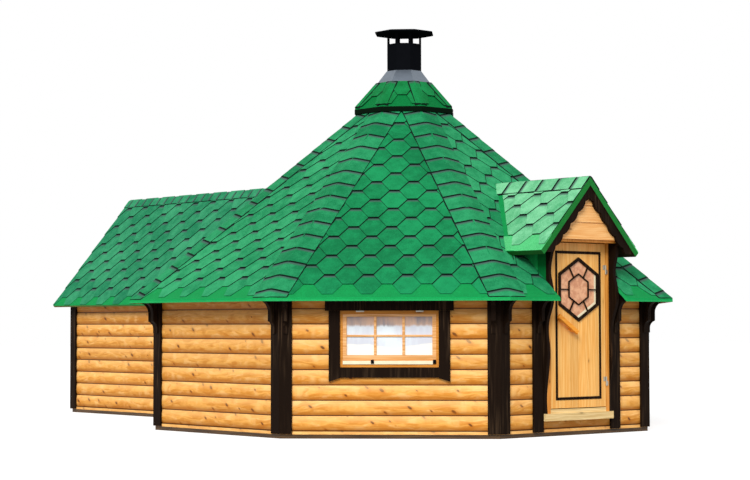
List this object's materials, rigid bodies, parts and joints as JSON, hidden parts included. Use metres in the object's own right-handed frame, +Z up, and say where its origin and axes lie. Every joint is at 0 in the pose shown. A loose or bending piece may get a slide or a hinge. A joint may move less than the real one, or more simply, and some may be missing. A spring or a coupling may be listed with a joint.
{
  "type": "barbecue hut",
  "caption": "Eight-sided log barbecue hut with a tabbed conical roof, a smoke chimney, a dormer over a hinged door and a gabled annex behind.",
  "frame": {"origin": "on the ground under the chimney, in the middle of the middle floor joist's underside", "axes": "+Z up, -Y out of the door, +Y along the annex, +X to the right for someone who looks from the door side"},
  "size_m": [5.05, 7.3755, 3.89],
  "materials": {
    "log_pine": "clear-stained round-faced pine logs",
    "base_timber": "dark preserved ground timber",
    "floor_board": "planed boards",
    "dark_board": "nearly black stained boards",
    "door_pine": "boarded pine, clear-stained",
    "pale_wood": "fresh planed softwood",
    "pane": "clear pane",
    "stained_pane": "tinted pane",
    "zinc_steel": "zinc-coated lift-off hinge",
    "sash_wood": "clear-stained pine sash",
    "roof_board": "roof boards, covered with green bitumen tabs",
    "cap_board": "boards of the smoke cap, covered with green bitumen tabs",
    "skirt_metal": "blue-grey sheet collar",
    "chimney_metal": "nearly black sheet"
  },
  "bodies": {
    "hut": {"base_beams": "base_timber", "floor_joists": "base_timber", "floor_panels": "floor_board", "front_walls": "log_pine", "wall_below_door": "log_pine", "window_walls": "log_pine", "side_walls": "log_pine", "back_walls": "log_pine", "passage_posts": "log_pine", "annex_side_walls": "log_pine", "annex_end_wall": "log_pine", "gable_boards": "log_pine", "corner_boards": "dark_board", "eave_brackets": "dark_board", "door_planks": "dark_board", "door_cheeks": "dark_board", "door_frame_posts": "door_pine", "door_head": "door_pine", "door_threshold": "pale_wood", "frame_hinges": "zinc_steel", "window_frames": "sash_wood", "window_sashes": "sash_wood", "window_glass": "pane", "window_trim": "dark_board", "dormer_roof": "roof_board", "dormer_sides": "cap_board", "bargeboards": "dark_board", "roof_front": "roof_board", "roof_back": "roof_board", "roof_sides": "roof_board", "roof_front_corners": "roof_board", "roof_back_corners": "roof_board", "annex_roof": "roof_board", "roof_crown": "roof_board", "cap_roof": "cap_board", "chimney_skirt": "skirt_metal", "chimney_stack": "chimney_metal", "chimney_stubs": "chimney_metal", "chimney_lid": "chimney_metal"},
    "door": {"door_leaf": "door_pine", "door_moulding": "dark_board", "door_hexagon": "dark_board", "door_glass": "stained_pane", "door_handle": "pale_wood", "leaf_hinges": "zinc_steel"}
  },
  "joints": [
    {"name": "door_hinge", "type": "hinge", "parent": "hut", "child": "door", "pos_m": [0.3545, -2.3305, 0], "axis": [0, 0, 1], "range_deg": [0, 95]}
  ]
}
